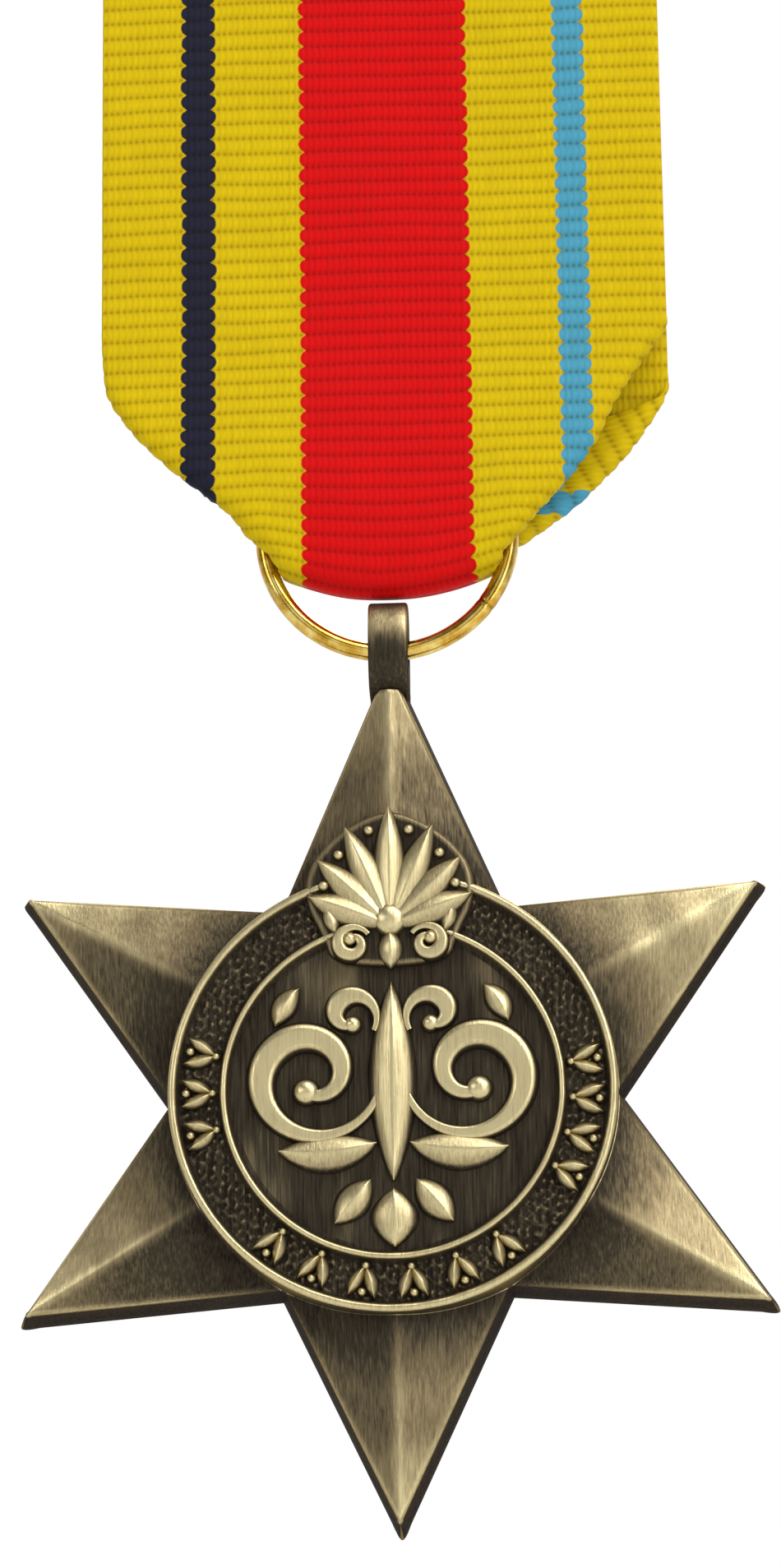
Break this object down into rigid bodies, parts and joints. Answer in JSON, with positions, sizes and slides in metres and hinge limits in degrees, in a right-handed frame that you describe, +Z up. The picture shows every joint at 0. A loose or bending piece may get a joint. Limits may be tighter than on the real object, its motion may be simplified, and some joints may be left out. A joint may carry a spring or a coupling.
{
  "type": "military service medal",
  "caption": "Six-pointed star medal with a raised roundel and crest, hung by a lug and ring from a striped ribbon on a pin-back brooch bar.",
  "frame": {"origin": "middle of the brooch bar, in the plane in which the ribbon and the ring hang", "axes": "+X to the viewer's right along the bar, +Z up along the ribbon, -Y out of the medal's face"},
  "size_m": [0.0408, 0.0073, 0.1031],
  "materials": {
    "antique_brass": "brushed, darkened in the recesses",
    "gilt_wire": "polished",
    "ribbon": "ribbed grosgrain",
    "thread": "twisted thread",
    "brooch_brass": "satin",
    "pin_steel": "drawn"
  },
  "bodies": {
    "brooch": {"brooch_plate": "brooch_brass", "hinge_bracket": "brooch_brass", "hinge_rivet": "brooch_brass", "pin_catch": "brooch_brass", "ribbon_upper": "ribbon", "ribbon_stitching": "thread"},
    "pin": {"brooch_pin": "pin_steel"},
    "ribbon_loop": {"ribbon_lower": "ribbon"},
    "ring": {"suspension_ring": "gilt_wire"},
    "medal": {"star": "antique_brass", "suspension_lug": "antique_brass"}
  },
  "joints": [
    {"name": "pin_open", "type": "hinge", "parent": "brooch", "child": "pin", "pos_m": [-0.0171, 0.0031, 0], "axis": [0, 0, 1], "range_deg": [0, 80]},
    {"name": "ribbon_bend", "type": "hinge", "parent": "brooch", "child": "ribbon_loop", "pos_m": [0, 0, -0.0305], "axis": [1, 0, 0], "range_deg": [-50, 50]},
    {"name": "ring_turn", "type": "hinge", "parent": "ribbon_loop", "child": "ring", "pos_m": [0, 0, -0.0437], "axis": [0, 1, 0], "range_deg": [-15, 15]},
    {"name": "star_swing", "type": "hinge", "parent": "ring", "child": "medal", "pos_m": [0, 0, -0.0506], "axis": [1, 0, 0], "range_deg": [-70, 70]}
  ]
}
